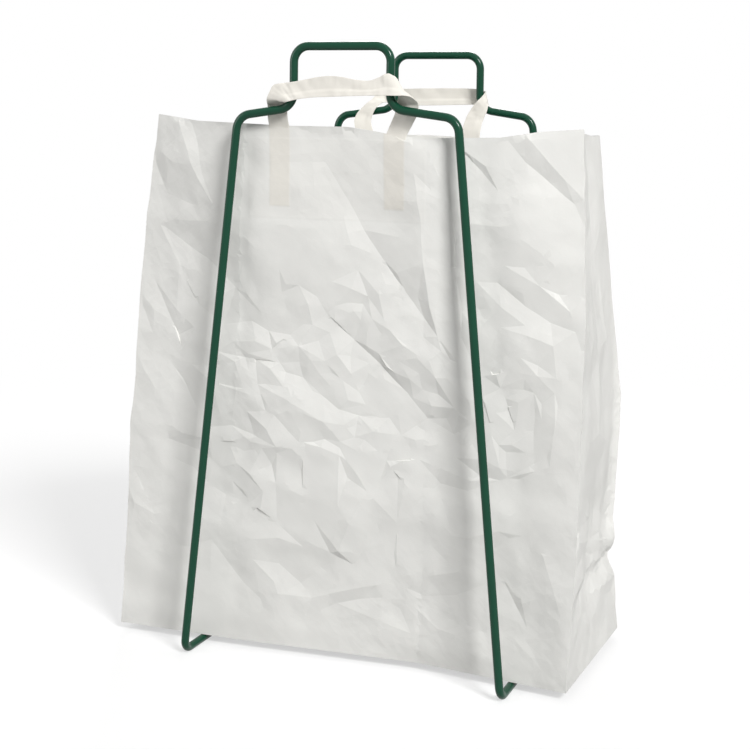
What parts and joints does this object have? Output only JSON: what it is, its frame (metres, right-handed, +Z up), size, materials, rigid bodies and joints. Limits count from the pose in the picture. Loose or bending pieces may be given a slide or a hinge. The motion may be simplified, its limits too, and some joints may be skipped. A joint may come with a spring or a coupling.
{
  "type": "paper bag rack",
  "caption": "Free-standing rack bent from one round wire, holding an open folded paper bag by its two flat paper handles.",
  "frame": {"origin": "on the floor in the middle of the rack, between its two floor rails", "axes": "+Z up, +X across the frames to the right seen from the front, -Y towards the front"},
  "size_m": [0.3726, 0.214, 0.46],
  "materials": {
    "coated_wire": "dark green powder coat, gloss",
    "bag_paper": "white kraft paper, creased, matte",
    "strap_paper": "off-white folded paper strap, matte"
  },
  "bodies": {
    "root": {"wire_frame": "coated_wire", "bag": "bag_paper", "front_handle": "strap_paper", "back_handle": "strap_paper", "front_patch": "bag_paper", "back_patch": "bag_paper"}
  },
  "joints": []
}
